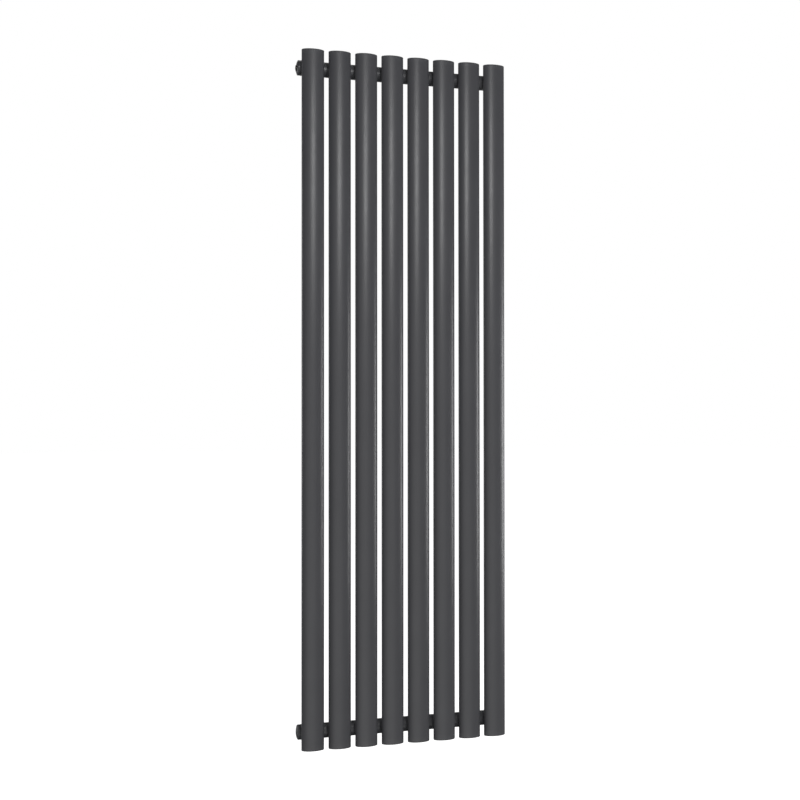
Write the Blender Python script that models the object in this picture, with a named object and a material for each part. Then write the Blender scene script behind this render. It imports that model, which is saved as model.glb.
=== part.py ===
"""Upright designer radiator for a central-heating system, with its air-bleed valve and wall fixings.

Eight closed oval tubes stand in a row in front of two round headers and are welded to them.
Each header end carries a turned socket, closed by a plug or by the vent. Four pins on the
backs of the headers rest in sleeves on the wall.

Metres, +Z up. The origin is on the wall's face, in the middle of the four wall sleeves.
The wall is the plane Y = 0, and the radiator's front faces -Y.
"""

import math

import bmesh
import bpy
from mathutils import Matrix, Vector

# Overall sizes
HEIGHT = 1.500
TUBE_COUNT = 8
TUBE_PITCH = 0.059
HEADER_TO_WALL = 0.050

# Oval tubes and their end caps
TUBE_WIDTH = 0.049
TUBE_DEPTH = 0.025
TUBE_WALL = 0.0015
CAP_THICKNESS = 0.003
CAP_EDGE = 0.001

# Round headers, and the collars that carry the water into the tubes
HEADER_DIAMETER = 0.032
HEADER_WALL = 0.002
HEADER_INSET = 0.032
HEADER_OVERHANG = 0.0036
COLLAR_RADIUS = 0.0085
COLLAR_BORE_RADIUS = 0.0068

# Turned sockets in the header ends, tapped for a half-inch pipe thread
SOCKET_LENGTH = 0.008
SOCKET_CHAMFER = 0.0006
SPIGOT_LENGTH = 0.010
TAPPING_RADIUS = 0.0095

# Seals and plugs
SEAL_RADIUS = 0.0117
SEAL_THICKNESS = 0.0014
PLUG_HEAD_RADIUS = 0.013
PLUG_HEAD_EDGE = 0.0012
PLUG_CROWN = 0.0032
PLUG_LENGTH = 0.0125
PLUG_SLOT_WIDTH = 0.0025
PLUG_SLOT_DEPTH = 0.0016

# Air-bleed valve: its turning spout and its screw
SPOUT_RADIUS = 0.0052
SPOUT_PROUD = 0.0012
SPOUT_DEPTH = 0.0031
NOZZLE_REACH = 0.0078
NOZZLE_WIDTH = 0.0036
NOZZLE_THICKNESS = 0.0012
VENT_KEY_WIDTH = 0.004
VENT_KEY_RECESS = 0.0003
VENT_SCREW_RADIUS = 0.00175
VENT_SCREW_LENGTH = 0.010
VENT_CONE_LENGTH = 0.0015
VENT_HOLE_RADIUS = 0.001

# Pins on the headers, and the sleeves that hold them to the wall
FIXING_PITCHES = 2
PIN_RADIUS = 0.0051
PIN_END_TO_WALL = 0.009
SLEEVE_WALL = 0.0018
SLEEVE_LENGTH = 0.024
SLEEVE_FLOOR = 0.004
FLANGE_RADIUS = 0.012
FLANGE_THICKNESS = 0.003
WALL_SCREW_RADIUS = 0.0026
GRUB_RADIUS = 0.002
GRUB_LENGTH = 0.004
GRUB_FROM_MOUTH = 0.006
GRUB_SOCKET_RADIUS = 0.0011
GRUB_SOCKET_DEPTH = 0.0015

# Gap left between pieces that touch or are welded together on the real radiator
GAP = 0.0003

# How finely the round and oval shapes are divided
OVAL_SIDES = 28
HEADER_SIDES = 24
FITTING_SIDES = 24
SMALL_SIDES = 12
DOME_STEPS = 3
CAP_EDGE_STEPS = 2
SHARP_ANGLE = math.radians(35)
MERGE_DISTANCE = 1e-6

# Places that follow from the sizes above
HEADER_RADIUS = HEADER_DIAMETER / 2
HEADER_BORE_RADIUS = HEADER_RADIUS - HEADER_WALL
HEADER_Y = -HEADER_TO_WALL
HEADER_Z = HEIGHT / 2 - HEADER_INSET
TUBE_Y = HEADER_Y - HEADER_RADIUS - GAP - TUBE_DEPTH / 2
TUBE_HALF_LENGTH = HEIGHT / 2 - CAP_THICKNESS - GAP
TUBE_INNER_BACK_Y = TUBE_Y + TUBE_DEPTH / 2 - TUBE_WALL
OUTER_TUBE_X = (TUBE_COUNT - 1) / 2 * TUBE_PITCH
END_FACE_X = OUTER_TUBE_X + TUBE_WIDTH / 2 + HEADER_OVERHANG
HEADER_HALF_LENGTH = END_FACE_X - SOCKET_LENGTH - GAP
SEAL_RECESS_RADIUS = SEAL_RADIUS + GAP
SEAL_RECESS_DEPTH = SEAL_THICKNESS + GAP
PLUG_SHANK_RADIUS = TAPPING_RADIUS - GAP
SPOUT_FACE = PLUG_CROWN + SPOUT_PROUD
SPOUT_BORE_RADIUS = VENT_KEY_WIDTH / math.sqrt(2) + GAP
SPOUT_POCKET_RADIUS = SPOUT_RADIUS + GAP
SPOUT_POCKET_FLOOR = SPOUT_FACE - SPOUT_DEPTH - GAP
VENT_KEY_BASE = SPOUT_POCKET_FLOOR + GAP
SLEEVE_BORE_RADIUS = PIN_RADIUS + GAP
SLEEVE_RADIUS = SLEEVE_BORE_RADIUS + SLEEVE_WALL
FIXING_X = FIXING_PITCHES * TUBE_PITCH
PIN_LENGTH = HEADER_TO_WALL - PIN_END_TO_WALL

LEVELS = {"top": HEADER_Z, "bottom": -HEADER_Z}
SIDES = {"left": -1, "right": 1}
HALF_TURN = math.pi


def clear_scene():
    for thing in list(bpy.data.objects):
        bpy.data.objects.remove(thing, do_unlink=True)


def finish_material(name, colour, roughness, metallic):
    material = bpy.data.materials.new(name)
    material.use_nodes = True
    shader = material.node_tree.nodes["Principled BSDF"]
    shader.inputs["Base Color"].default_value = (*colour, 1.0)
    shader.inputs["Roughness"].default_value = roughness
    shader.inputs["Metallic"].default_value = metallic
    return material


def mesh_from(name, bm):
    """Turns the bmesh into a mesh whose faces point out, and smooth except at its real edges."""
    bmesh.ops.remove_doubles(bm, verts=bm.verts, dist=MERGE_DISTANCE)
    bmesh.ops.recalc_face_normals(bm, faces=bm.faces)
    mesh = bpy.data.meshes.new(name)
    bm.to_mesh(mesh)
    bm.free()
    mesh.shade_smooth()
    mesh.set_sharp_from_angle(angle=SHARP_ANGLE)
    return mesh


def add_piece(name, mesh, material, place, turn=(0, 0, 0), parent=None):
    piece = bpy.data.objects.new(name, mesh)
    piece.location = place
    piece.rotation_euler = turn
    piece.parent = parent
    bpy.context.scene.collection.objects.link(piece)
    if not mesh.materials:
        mesh.materials.append(material)
    return piece


def add_cutter(name, bm):
    """A guide for a Boolean, which is no piece of the radiator."""
    cutter = bpy.data.objects.new(name, mesh_from(name, bm))
    cutter.hide_render = True
    cutter.display_type = "WIRE"
    bpy.context.scene.collection.objects.link(cutter)
    return cutter


def combine(piece, operation, cutter):
    step = piece.modifiers.new(cutter.name, "BOOLEAN")
    step.operation = operation
    step.object = cutter


def oval(half_width, half_depth):
    """The corners of an ellipse about the origin, in the XY plane."""
    angles = [2 * math.pi * i / OVAL_SIDES for i in range(OVAL_SIDES)]
    return [Vector((half_width * math.cos(a), half_depth * math.sin(a), 0)) for a in angles]


def closed_loop(bm, corners):
    verts = [bm.verts.new(corner) for corner in corners]
    return [bm.edges.new(pair) for pair in zip(verts, verts[1:] + verts[:1])]


def extrude_up(bm, faces, height):
    grown = bmesh.ops.extrude_face_region(bm, geom=faces, use_keep_orig=True)["geom"]
    top = [item for item in grown if isinstance(item, bmesh.types.BMVert)]
    bmesh.ops.translate(bm, verts=top, vec=(0, 0, height))


def turned(outline, sides, ring):
    """A lathe shape about X. The outline holds (distance along X, radius), out of the axis
    and back to it, or all the way round where the shape is a ring."""
    bm = bmesh.new()
    verts = [bm.verts.new((along, radius, 0)) for along, radius in outline]
    edges = [bm.edges.new(pair) for pair in zip(verts, verts[1:])]
    if ring:
        edges.append(bm.edges.new((verts[-1], verts[0])))
    bmesh.ops.spin(
        bm,
        geom=verts + edges,
        cent=(0, 0, 0),
        axis=(1, 0, 0),
        angle=2 * math.pi,
        steps=sides,
        use_merge=True,
    )
    return bm


def add_rod(bm, start, end, radius, sides):
    """A round rod between two points, added to the bmesh."""
    span = end - start
    turn = span.to_track_quat("Z", "Y").to_matrix().to_4x4()
    bmesh.ops.create_cone(
        bm,
        cap_ends=True,
        segments=sides,
        radius1=radius,
        radius2=radius,
        depth=span.length,
        matrix=Matrix.Translation((start + end) / 2) @ turn,
    )


def add_block(bm, low, high):
    """A box between two opposite corners, added to the bmesh."""
    size = high - low
    place = Matrix.Translation((low + high) / 2) @ Matrix.Diagonal((*size, 1))
    bmesh.ops.create_cube(bm, size=1, matrix=place)


def tube_places():
    """The X of each tube's centre, from left to right."""
    return [(i - (TUBE_COUNT - 1) / 2) * TUBE_PITCH for i in range(TUBE_COUNT)]


def add_port_rods(name, radius, levels, end_y):
    """A guide with one rod on each port's axis, from inside the header towards the tube's front."""
    bm = bmesh.new()
    for z in levels:
        for x in tube_places():
            add_rod(bm, Vector((x, HEADER_Y, z)), Vector((x, end_y, z)), radius, SMALL_SIDES)
    return add_cutter(name, bm)


def build_tubes(paint):
    """Open oval tubes, each with two holes in its back for the header collars."""
    bm = bmesh.new()
    outer = closed_loop(bm, oval(TUBE_WIDTH / 2, TUBE_DEPTH / 2))
    inner = closed_loop(bm, oval(TUBE_WIDTH / 2 - TUBE_WALL, TUBE_DEPTH / 2 - TUBE_WALL))
    end = bmesh.ops.bridge_loops(bm, edges=outer + inner)["faces"]
    extrude_up(bm, end, 2 * TUBE_HALF_LENGTH)
    bmesh.ops.translate(bm, verts=bm.verts, vec=(0, 0, -TUBE_HALF_LENGTH))
    mesh = mesh_from("tube", bm)
    drills = add_port_rods("tube_port_drills", COLLAR_RADIUS + GAP, LEVELS.values(), TUBE_Y)
    for number, x in enumerate(tube_places(), start=1):
        tube = add_piece(f"tube_{number}", mesh, paint, (x, TUBE_Y, 0))
        combine(tube, "DIFFERENCE", drills)


def build_caps(paint):
    """Oval lids with a softened outer edge, welded on both ends of every tube."""
    bm = bmesh.new()
    rim = closed_loop(bm, oval(TUBE_WIDTH / 2, TUBE_DEPTH / 2))
    plate = bmesh.ops.contextual_create(bm, geom=rim)["faces"]
    extrude_up(bm, plate, CAP_THICKNESS)
    outer_rim = [e for e in bm.edges if min(v.co.z for v in e.verts) > CAP_THICKNESS / 2]
    bmesh.ops.bevel(
        bm, geom=outer_rim, offset=CAP_EDGE, segments=CAP_EDGE_STEPS, profile=0.5, affect="EDGES"
    )
    mesh = mesh_from("tube_cap", bm)
    seat = HEIGHT / 2 - CAP_THICKNESS
    for number, x in enumerate(tube_places(), start=1):
        add_piece(f"top_cap_{number}", mesh, paint, (x, TUBE_Y, seat))
        add_piece(f"bottom_cap_{number}", mesh, paint, (x, TUBE_Y, -seat), (HALF_TURN, 0, 0))


def build_headers(paint):
    """Round pipes with a drawn collar for each tube, open at both ends for the sockets."""
    body = turned(
        [
            (-HEADER_HALF_LENGTH, 0),
            (-HEADER_HALF_LENGTH, HEADER_RADIUS),
            (HEADER_HALF_LENGTH, HEADER_RADIUS),
            (HEADER_HALF_LENGTH, 0),
        ],
        HEADER_SIDES,
        ring=False,
    )
    mesh = mesh_from("header", body)
    bore = bmesh.new()
    for z in LEVELS.values():
        reach = Vector((END_FACE_X, 0, 0))
        centre = Vector((0, HEADER_Y, z))
        add_rod(bore, centre - reach, centre + reach, HEADER_BORE_RADIUS, HEADER_SIDES)
    bores = add_cutter("header_bores", bore)
    for level, z in LEVELS.items():
        header = add_piece(f"{level}_header", mesh, paint, (0, HEADER_Y, z))
        collars = add_port_rods(f"{level}_collars", COLLAR_RADIUS, [z], TUBE_INNER_BACK_Y)
        collar_bores = add_port_rods(f"{level}_collar_bores", COLLAR_BORE_RADIUS, [z], TUBE_Y)
        combine(header, "UNION", collars)
        combine(header, "DIFFERENCE", bores)
        combine(header, "DIFFERENCE", collar_bores)


def socket_mesh():
    """Its end face is X = 0, and its spigot reaches back into the header."""
    back = -SOCKET_LENGTH
    spigot_end = back - SPIGOT_LENGTH
    spigot_radius = HEADER_BORE_RADIUS - GAP
    outline = [
        (-SEAL_RECESS_DEPTH, TAPPING_RADIUS),
        (-SEAL_RECESS_DEPTH, SEAL_RECESS_RADIUS),
        (0, SEAL_RECESS_RADIUS),
        (0, HEADER_RADIUS - SOCKET_CHAMFER),
        (-SOCKET_CHAMFER, HEADER_RADIUS),
        (back, HEADER_RADIUS),
        (back, spigot_radius),
        (spigot_end, spigot_radius),
        (spigot_end, TAPPING_RADIUS),
    ]
    return mesh_from("socket", turned(outline, HEADER_SIDES, ring=True))


def seal_mesh():
    """A flat ring that lies in the socket's recess, level with its face."""
    inner_radius = PLUG_SHANK_RADIUS + GAP
    outline = [
        (0, inner_radius),
        (0, SEAL_RADIUS),
        (-SEAL_THICKNESS, SEAL_RADIUS),
        (-SEAL_THICKNESS, inner_radius),
    ]
    return mesh_from("seal", turned(outline, FITTING_SIDES, ring=True))


def dome(start_radius, end_radius):
    """(distance, radius) along the crowned face of a plug head, from the rim inwards."""
    rise = PLUG_CROWN - PLUG_HEAD_EDGE
    points = []
    for step in range(DOME_STEPS + 1):
        radius = start_radius + (end_radius - start_radius) * step / DOME_STEPS
        points.append((PLUG_CROWN - rise * (radius / PLUG_HEAD_RADIUS) ** 2, radius))
    return points


def plug_body():
    """(distance, radius) of the shank and the underside of a plug's head, from its inner end."""
    return [
        (-PLUG_LENGTH, 0),
        (-PLUG_LENGTH, PLUG_SHANK_RADIUS),
        (GAP, PLUG_SHANK_RADIUS),
        (GAP, PLUG_HEAD_RADIUS),
    ]


def plug_mesh():
    outline = plug_body() + dome(PLUG_HEAD_RADIUS, 0)
    return mesh_from("plug", turned(outline, FITTING_SIDES, ring=False))


def vent_body_mesh():
    """The plug's shape, with a pocket for the spout and a stepped bore that ends in a cone seat."""
    bore_radius = VENT_SCREW_RADIUS + GAP
    cone_start = VENT_KEY_BASE - VENT_SCREW_LENGTH + VENT_CONE_LENGTH
    seat_end = cone_start - VENT_CONE_LENGTH
    outline = [
        *plug_body()[1:],
        *dome(PLUG_HEAD_RADIUS, SPOUT_POCKET_RADIUS),
        (SPOUT_POCKET_FLOOR, SPOUT_POCKET_RADIUS),
        (SPOUT_POCKET_FLOOR, bore_radius),
        (cone_start, bore_radius),
        (seat_end, VENT_HOLE_RADIUS),
        (-PLUG_LENGTH, VENT_HOLE_RADIUS),
    ]
    return mesh_from("vent_body", turned(outline, FITTING_SIDES, ring=True))


def build_vent(place, turn, slots, paint, plastic, nickel):
    """The bleed valve: a plug with a spout ring that turns and a screw that opens the seat."""
    axis = bpy.data.objects.new("vent_axis", None)
    axis.location = place
    axis.rotation_euler = turn
    bpy.context.scene.collection.objects.link(axis)
    body = add_piece("vent_body", vent_body_mesh(), paint, (0, 0, 0), parent=axis)
    combine(body, "DIFFERENCE", slots)

    ring = turned(
        [
            (SPOUT_FACE - SPOUT_DEPTH, SPOUT_BORE_RADIUS),
            (SPOUT_FACE - SPOUT_DEPTH, SPOUT_RADIUS),
            (SPOUT_FACE, SPOUT_RADIUS),
            (SPOUT_FACE, SPOUT_BORE_RADIUS),
        ],
        FITTING_SIDES,
        ring=True,
    )
    spout = add_piece("vent_spout", mesh_from("vent_spout", ring), plastic, (0, 0, 0), parent=axis)
    nozzle = bmesh.new()
    ring_middle = (SPOUT_RADIUS + SPOUT_BORE_RADIUS) / 2
    low = Vector((SPOUT_FACE - NOZZLE_THICKNESS, -NOZZLE_WIDTH / 2, -NOZZLE_REACH))
    high = Vector((SPOUT_FACE, NOZZLE_WIDTH / 2, -ring_middle))
    add_block(nozzle, low, high)
    nozzle_guide = add_cutter("vent_nozzle", nozzle)
    nozzle_guide.parent = axis
    combine(spout, "UNION", nozzle_guide)

    stem_end = VENT_KEY_BASE - VENT_SCREW_LENGTH
    inside_key = VENT_KEY_BASE + VENT_KEY_WIDTH / 4
    stem = turned(
        [
            (stem_end, 0),
            (stem_end + VENT_CONE_LENGTH, VENT_SCREW_RADIUS),
            (inside_key, VENT_SCREW_RADIUS),
            (inside_key, 0),
        ],
        SMALL_SIDES,
        ring=False,
    )
    screw = add_piece("vent_screw", mesh_from("vent_screw", stem), nickel, (0, 0, 0), parent=axis)
    key = bmesh.new()
    half_key = VENT_KEY_WIDTH / 2
    low = Vector((VENT_KEY_BASE, -half_key, -half_key))
    high = Vector((SPOUT_FACE - VENT_KEY_RECESS, half_key, half_key))
    add_block(key, low, high)
    key_guide = add_cutter("vent_key", key)
    key_guide.parent = axis
    combine(screw, "UNION", key_guide)


def build_header_ends(paint, rubber, plastic, nickel):
    """A socket and a seal in every header end, with the vent at the top left and a plug in the rest."""
    socket, seal, plug = socket_mesh(), seal_mesh(), plug_mesh()
    slot = bmesh.new()
    reach = END_FACE_X + PLUG_CROWN
    for z in LEVELS.values():
        for side in SIDES.values():
            outer, floor = side * (reach + GAP), side * (reach - PLUG_SLOT_DEPTH)
            half_length = PLUG_HEAD_RADIUS + GAP
            low = Vector((min(outer, floor), HEADER_Y - half_length, z - PLUG_SLOT_WIDTH / 2))
            high = Vector((max(outer, floor), HEADER_Y + half_length, z + PLUG_SLOT_WIDTH / 2))
            add_block(slot, low, high)
    slots = add_cutter("plug_slots", slot)
    for level, z in LEVELS.items():
        for side, sign in SIDES.items():
            turn = (0, 0, 0 if sign > 0 else HALF_TURN)
            face = (sign * END_FACE_X, HEADER_Y, z)
            add_piece(f"{level}_{side}_socket", socket, paint, face, turn)
            add_piece(f"{level}_{side}_seal", seal, rubber, face, turn)
            if (level, side) == ("top", "left"):
                build_vent(face, turn, slots, paint, plastic, nickel)
            else:
                closing = add_piece(f"{level}_{side}_plug", plug, paint, face, turn)
                combine(closing, "DIFFERENCE", slots)


def pin_mesh():
    """A pin that starts on the header's axis, before its end is cut to a saddle."""
    outline = [
        (0, 0),
        (0, PIN_RADIUS),
        (PIN_LENGTH - GAP, PIN_RADIUS),
        (PIN_LENGTH, PIN_RADIUS - GAP),
        (PIN_LENGTH, 0),
    ]
    return mesh_from("pin", turned(outline, FITTING_SIDES, ring=False))


def sleeve_mesh():
    """A cup with a wall flange and a hole for the wall screw. Its wall face is X = 0."""
    outline = [
        (0, WALL_SCREW_RADIUS),
        (0, FLANGE_RADIUS),
        (FLANGE_THICKNESS, FLANGE_RADIUS),
        (FLANGE_THICKNESS, SLEEVE_RADIUS),
        (SLEEVE_LENGTH, SLEEVE_RADIUS),
        (SLEEVE_LENGTH, SLEEVE_BORE_RADIUS),
        (SLEEVE_FLOOR, SLEEVE_BORE_RADIUS),
        (SLEEVE_FLOOR, WALL_SCREW_RADIUS),
    ]
    return mesh_from("sleeve", turned(outline, FITTING_SIDES, ring=True))


def grub_screw_mesh():
    """A headless screw that starts at the pin, measured from the pin's axis, with a key socket."""
    start = PIN_RADIUS + GAP
    end = start + GRUB_LENGTH
    socket_floor = end - GRUB_SOCKET_DEPTH
    outline = [
        (start, 0),
        (start, GRUB_RADIUS - GAP),
        (end, GRUB_RADIUS - GAP),
        (end, GRUB_SOCKET_RADIUS),
        (socket_floor, GRUB_SOCKET_RADIUS),
        (socket_floor, 0),
    ]
    return mesh_from("grub_screw", turned(outline, SMALL_SIDES, ring=False))


def build_fixings(paint, steel):
    """Pins on the headers, sleeves with wall flanges, and the grub screws that lock them."""
    pin, sleeve, grub = pin_mesh(), sleeve_mesh(), grub_screw_mesh()
    grub_y = GRUB_FROM_MOUTH - SLEEVE_LENGTH
    saddle, hole = bmesh.new(), bmesh.new()
    for z in LEVELS.values():
        reach = Vector((END_FACE_X, 0, 0))
        centre = Vector((0, HEADER_Y, z))
        add_rod(saddle, centre - reach, centre + reach, HEADER_RADIUS + GAP, HEADER_SIDES)
        for sign in SIDES.values():
            middle = Vector((sign * FIXING_X, grub_y, z))
            below = middle + Vector((0, 0, -FLANGE_RADIUS))
            add_rod(hole, middle, below, GRUB_RADIUS, SMALL_SIDES)
    saddles = add_cutter("pin_saddles", saddle)
    grub_holes = add_cutter("grub_holes", hole)
    towards_wall = (0, 0, HALF_TURN / 2)
    towards_room = (0, 0, -HALF_TURN / 2)
    downwards = (0, HALF_TURN / 2, 0)
    for level, z in LEVELS.items():
        for side, sign in SIDES.items():
            x = sign * FIXING_X
            post = add_piece(f"{level}_{side}_pin", pin, paint, (x, HEADER_Y, z), towards_wall)
            combine(post, "DIFFERENCE", saddles)
            holder = add_piece(f"{level}_{side}_wall_sleeve", sleeve, paint, (x, 0, z), towards_room)
            combine(holder, "DIFFERENCE", grub_holes)
            add_piece(f"{level}_{side}_grub_screw", grub, steel, (x, grub_y, z), downwards)


clear_scene()
anthracite = finish_material("anthracite_powder_coat", (0.050, 0.053, 0.057), 0.42, 0.0)
black_rubber = finish_material("black_rubber", (0.012, 0.012, 0.012), 0.75, 0.0)
black_plastic = finish_material("black_plastic", (0.020, 0.020, 0.021), 0.45, 0.0)
nickel_plate = finish_material("nickel_plate", (0.62, 0.60, 0.57), 0.28, 1.0)
zinc_steel = finish_material("zinc_plated_steel", (0.55, 0.56, 0.57), 0.38, 1.0)
build_tubes(anthracite)
build_caps(anthracite)
build_headers(anthracite)
build_header_ends(anthracite, black_rubber, black_plastic, nickel_plate)
build_fixings(anthracite, zinc_steel)
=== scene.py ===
import math

import bmesh
import bpy
from mathutils import Matrix, Vector


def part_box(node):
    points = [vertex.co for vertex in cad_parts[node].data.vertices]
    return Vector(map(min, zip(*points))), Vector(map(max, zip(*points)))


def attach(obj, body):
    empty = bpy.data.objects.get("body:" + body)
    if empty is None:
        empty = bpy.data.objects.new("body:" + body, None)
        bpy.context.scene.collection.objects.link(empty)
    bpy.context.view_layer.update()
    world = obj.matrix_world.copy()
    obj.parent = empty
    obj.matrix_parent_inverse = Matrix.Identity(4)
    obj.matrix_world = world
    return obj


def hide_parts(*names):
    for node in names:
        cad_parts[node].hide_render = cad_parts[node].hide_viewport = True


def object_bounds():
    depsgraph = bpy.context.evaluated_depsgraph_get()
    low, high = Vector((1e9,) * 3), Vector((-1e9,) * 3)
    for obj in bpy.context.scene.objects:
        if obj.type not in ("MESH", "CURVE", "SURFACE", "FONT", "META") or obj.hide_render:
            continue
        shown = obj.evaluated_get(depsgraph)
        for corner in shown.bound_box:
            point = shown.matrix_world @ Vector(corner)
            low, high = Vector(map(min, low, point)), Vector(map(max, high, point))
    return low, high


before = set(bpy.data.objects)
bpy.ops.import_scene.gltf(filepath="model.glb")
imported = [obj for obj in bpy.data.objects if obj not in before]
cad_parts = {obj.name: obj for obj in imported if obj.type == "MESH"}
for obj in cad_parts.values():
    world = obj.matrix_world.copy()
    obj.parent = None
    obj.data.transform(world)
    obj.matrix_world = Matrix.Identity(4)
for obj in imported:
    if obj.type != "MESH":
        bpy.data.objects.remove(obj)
cad_low, cad_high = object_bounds()


# ---- The studio ------------------------------------------------------------------------
# The camera stands at the front left, level with the middle of the radiator. A small soft
# panel hangs high in front and a large one stands at the right. Two dim ones hang behind
# and overhead for the other sides.

EYE = (-0.671, -2.4238, -0.028)
EYE_TURN = math.radians(-15.688)
EYE_TILT = math.radians(90.61)
EYE_ROLL = math.radians(-0.036)

scene = bpy.context.scene
scene.view_settings.view_transform = "Standard"
scene.view_settings.look = "None"

lens = bpy.data.cameras.new("camera")
lens.lens = 50.04
lens.sensor_width = 36
lens.clip_start = 0.05
camera = bpy.data.objects.new("camera", lens)
scene.collection.objects.link(camera)
camera.matrix_world = (
    Matrix.Translation(EYE)
    @ Matrix.Rotation(EYE_TURN, 4, "Z")
    @ Matrix.Rotation(EYE_TILT, 4, "X")
    @ Matrix.Rotation(EYE_ROLL, 4, "Z")
)
scene.camera = camera


def soft_panel(name, place, aim, size, radiance):
    """A flat rectangular white lamp of even brightness, turned to face a point."""
    lamp = bpy.data.lights.new(name, "AREA")
    lamp.shape = "RECTANGLE"
    lamp.size, lamp.size_y = size
    lamp.energy = radiance * math.pi * size[0] * size[1]
    stand = bpy.data.objects.new(name, lamp)
    stand.location = place
    stand.rotation_euler = (Vector(aim) - Vector(place)).to_track_quat("-Z", "Y").to_euler()
    stand.visible_camera = False
    scene.collection.objects.link(stand)


TUBE_MIDDLE = Vector((0, -0.079, 0))
HEADER_MIDDLE = Vector((0, -0.05, 0))
SIDE_DROP = Vector((0, 0, -0.155))
soft_panel("key_panel", (0.001, -1.731, 0.835), TUBE_MIDDLE, size=(0.43, 0.455), radiance=11.4)
soft_panel(
    "side_panel",
    Vector((2.6, -0.50, 0)) + SIDE_DROP,
    TUBE_MIDDLE + SIDE_DROP,
    size=(1.32, 1.15),
    radiance=6.8,
)
soft_panel("back_panel", (-2.3, 1.3, 0.2), HEADER_MIDDLE, size=(1.3, 1.8), radiance=2.4)
soft_panel("overhead_panel", (-0.6, 0.6, 2.8), HEADER_MIDDLE, size=(1.6, 1.6), radiance=1.3)


def add_node(tree, kind, inputs=None, **settings):
    """A shader node with its settings; an input is a plain value or a socket to link from."""
    made = tree.nodes.new(kind)
    for key, value in settings.items():
        setattr(made, key, value)
    for key, value in (inputs or {}).items():
        if isinstance(value, bpy.types.NodeSocket):
            tree.links.new(value, made.inputs[key])
        else:
            made.inputs[key].default_value = value
    return made


def sums(tree, operation, *values, clamp=False):
    """One arithmetic node; the values are numbers or sockets."""
    return add_node(
        tree, "ShaderNodeMath", dict(enumerate(values)), operation=operation, use_clamp=clamp
    ).outputs[0]


# The room's glow depends on the direction: dim, a little brighter to the left, below and
# behind, and fading to both sides. The eye sees it plain white.
ROOM_LEVEL = 0.565
RIGHT_LOSS = 0.114
BACK_GAIN = 0.114
UP_LOSS = 0.83
STEEP_LOSS = 0.186
SIDE_LOSS = 0.658
LOW_GLOW = 0.70
BAND_LOSS = 0.6
BEHIND_LOSS = 0.9
# Where each change begins and ends, as parts of a direction one unit long.
GLOW_TOP = 0.17
BAND_LOW, BAND_MIDDLE, BAND_HIGH = -0.17, -0.10, -0.03
GLOW_LEFT_END = (-0.8, -0.3)
GLOW_RIGHT_END = (0.19, 0.38)
UNDERSIDE = (-0.8, -0.35)
STEEP = (0.05, 0.3)
BEHIND = (-0.1, 0.4)

room = bpy.data.worlds.new("white_room")
room.use_nodes = True
tree = room.node_tree
tree.nodes.clear()
towards = add_node(
    tree,
    "ShaderNodeSeparateXYZ",
    {0: add_node(tree, "ShaderNodeTexCoord").outputs["Generated"]},
)
side, depth, height = towards.outputs


def ramp(tree, value, low, high, to_low=0.0, to_high=1.0, shape="SMOOTHSTEP"):
    """Takes a value from one level to another between two marks, by a soft step."""
    return add_node(
        tree,
        "ShaderNodeMapRange",
        {0: value, 1: low, 2: high, 3: to_low, 4: to_high},
        interpolation_type=shape,
    ).outputs[0]


glow = sums(tree, "MULTIPLY_ADD", side, -RIGHT_LOSS, ROOM_LEVEL)
glow = sums(tree, "MULTIPLY_ADD", depth, BACK_GAIN, glow)
glow = sums(tree, "MULTIPLY_ADD", height, -UP_LOSS, glow)
glow = sums(tree, "MULTIPLY_ADD", sums(tree, "MULTIPLY", height, height), -STEEP_LOSS, glow)
glow = sums(tree, "MULTIPLY_ADD", sums(tree, "MULTIPLY", side, side), -SIDE_LOSS, glow)
glow = sums(tree, "MAXIMUM", glow, 0.0)
# A low glow fills the front left, with a dim band across it.
low_glow = ramp(tree, height, BAND_HIGH, GLOW_TOP, LOW_GLOW, 0.0)
above = ramp(tree, height, BAND_LOW, BAND_MIDDLE)
below = ramp(tree, height, BAND_MIDDLE, BAND_HIGH, 1.0, 0.0)
low_glow = sums(tree, "MULTIPLY_ADD", sums(tree, "MULTIPLY", above, below), -BAND_LOSS, low_glow)
front_left = sums(
    tree,
    "MULTIPLY",
    ramp(tree, side, *GLOW_RIGHT_END, 1.0, 0.0),
    ramp(tree, side, *GLOW_LEFT_END),
)
glow = sums(tree, "MULTIPLY_ADD", low_glow, front_left, glow)
glow = sums(tree, "MULTIPLY", glow, ramp(tree, height, *UNDERSIDE))
# Behind the radiator the room is dark above and below, so the headers stay dark.
steep = ramp(tree, sums(tree, "ABSOLUTE", height), *STEEP)
behind = sums(tree, "MULTIPLY", ramp(tree, depth, *BEHIND), steep)
glow = sums(tree, "MULTIPLY", glow, sums(tree, "MULTIPLY_ADD", behind, -BEHIND_LOSS, 1.0))
WHITE = (1, 1, 1, 1)
surround = add_node(tree, "ShaderNodeBackground", {0: WHITE, 1: glow})
backdrop = add_node(tree, "ShaderNodeBackground", {0: WHITE, 1: 1.0})
seen = add_node(tree, "ShaderNodeLightPath").outputs["Is Camera Ray"]
mixed = add_node(
    tree, "ShaderNodeMixShader", {0: seen, 1: surround.outputs[0], 2: backdrop.outputs[0]}
)
add_node(tree, "ShaderNodeOutputWorld", {0: mixed.outputs[0]})
scene.world = room

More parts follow.
